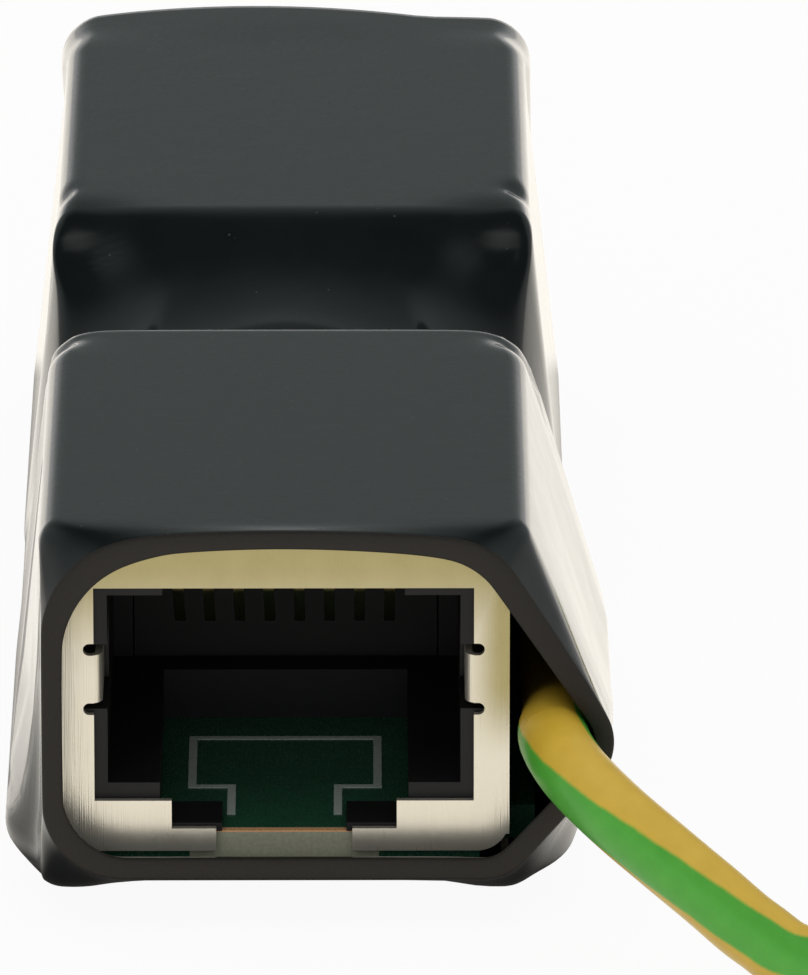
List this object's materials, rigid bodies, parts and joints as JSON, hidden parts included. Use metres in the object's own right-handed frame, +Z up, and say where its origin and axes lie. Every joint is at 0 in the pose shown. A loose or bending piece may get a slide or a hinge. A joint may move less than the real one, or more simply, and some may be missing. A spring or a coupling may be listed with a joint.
{
  "type": "ethernet surge protector",
  "caption": "In-line surge protector for a network cable: a modular socket at each end, a heat-shrink sleeve over both and an earth lead that ends in a ring terminal.",
  "frame": {"origin": "on the surface that the sleeve rests on, below the middle of the sleeve's own box, earth lead left out", "axes": "+Z up, +Y from the front socket, beside which the earth lead leaves, to the rear socket, +X to the right seen from the front"},
  "size_m": [0.0533, 0.0673, 0.0143],
  "materials": {
    "sleeve": "matte black polyolefin with fine grain",
    "board": "green solder mask on glass fibre board",
    "print": "white print",
    "shield": "tin-plated sheet with fine rolling lines",
    "housing": "black moulded plastic",
    "contact": "gold-plated spring wire",
    "solder": "bright solder",
    "gas_tube": "ceramic with tinned caps",
    "diode": "black moulded resin",
    "lead_insulation": "green and yellow striped insulation",
    "copper": "stranded copper",
    "terminal": "tinned copper",
    "cover": "black shrunk cover"
  },
  "bodies": {
    "root": {"shrink_sleeve": "sleeve", "circuit_board": "board", "board_outline_print": "print", "front_shield": "shield", "rear_shield": "shield", "front_housing": "housing", "rear_housing": "housing", "front_contact_block": "housing", "rear_contact_block": "housing", "front_contact_1": "contact", "front_contact_2": "contact", "front_contact_3": "contact", "front_contact_4": "contact", "front_contact_5": "contact", "front_contact_6": "contact", "front_contact_7": "contact", "front_contact_8": "contact", "rear_contact_1": "contact", "rear_contact_2": "contact", "rear_contact_3": "contact", "rear_contact_4": "contact", "rear_contact_5": "contact", "rear_contact_6": "contact", "rear_contact_7": "contact", "rear_contact_8": "contact", "front_solder_joints": "solder", "rear_solder_joints": "solder", "tube_solder_joints": "solder", "front_gas_tube": "gas_tube", "rear_gas_tube": "gas_tube", "left_front_diode_array": "diode", "left_rear_diode_array": "diode", "right_front_diode_array": "diode", "right_rear_diode_array": "diode", "earth_wire": "lead_insulation", "earth_core_board_end": "copper", "earth_solder": "solder", "earth_core_terminal_end": "copper", "ring_terminal": "terminal", "terminal_cover": "cover"}
  },
  "joints": []
}
